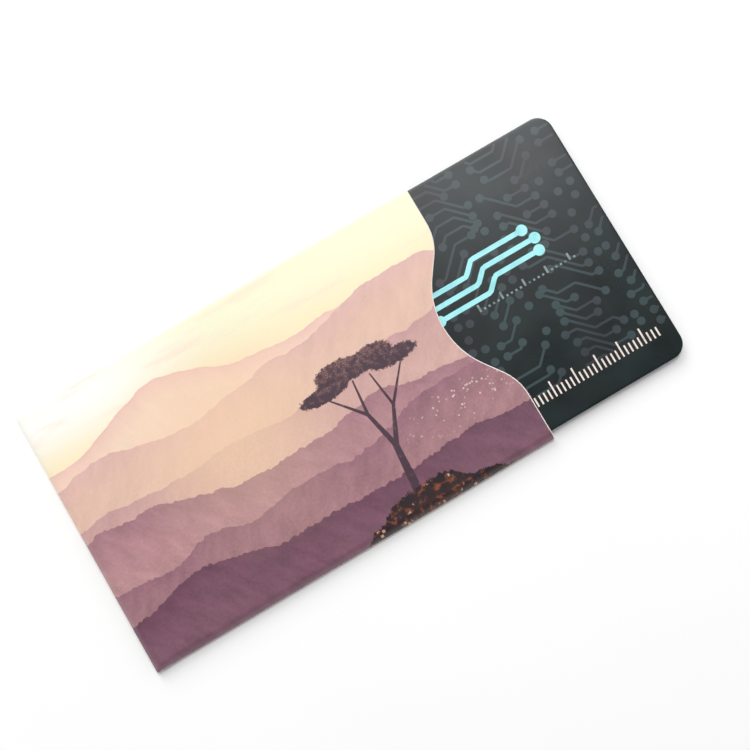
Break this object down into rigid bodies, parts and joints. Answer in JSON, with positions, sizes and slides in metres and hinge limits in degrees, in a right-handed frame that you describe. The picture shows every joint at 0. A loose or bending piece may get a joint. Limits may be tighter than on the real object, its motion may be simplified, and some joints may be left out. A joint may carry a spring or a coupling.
{
  "type": "rfid card sleeve",
  "caption": "Folded printed-board card sleeve with foil shielding and a wavy thumb cut, holding a laminated plastic card that slides in and out of its mouth.",
  "frame": {"origin": "middle of the sleeve's back face, on the surface that it lies on", "axes": "+X along the sleeve towards its mouth, the way the card slides out; +Y across it towards the glued side; +Z out of the printed front"},
  "size_m": [0.1183, 0.057, 0.0019],
  "materials": {
    "printed_board": "satin laminated print",
    "foil": "bright foil",
    "liner": "thin film",
    "glue": "dried glue",
    "card_film": "satin clear film over dark print",
    "card_print": "satin printed plastic",
    "card_core": "matte plastic sheet",
    "card_inlay": "translucent plastic sheet",
    "antenna_metal": "etched copper",
    "chip": "moulded chip",
    "capacitor": "fired ceramic"
  },
  "bodies": {
    "sleeve": {"front_panel": "printed_board", "back_panel": "printed_board", "spine_fold": "printed_board", "side_fold": "printed_board", "end_fold": "printed_board", "side_flap": "printed_board", "end_flap": "printed_board", "shield_foil": "foil", "inner_liner": "liner", "side_glue_line": "glue", "end_glue_line": "glue"},
    "card": {"card_front_film": "card_film", "card_front_sheet": "card_print", "card_core_sheet": "card_core", "card_inlay_sheet": "card_inlay", "antenna_coil": "antenna_metal", "coil_bridge": "antenna_metal", "jammer_chip": "chip", "tuning_capacitor": "capacitor", "card_back_sheet": "card_print", "card_back_film": "card_film"}
  },
  "joints": [
    {"name": "card_slide", "type": "slide", "parent": "sleeve", "child": "card", "axis": [1, 0, 0], "range_m": [-0.0312, 0.06]}
  ]
}
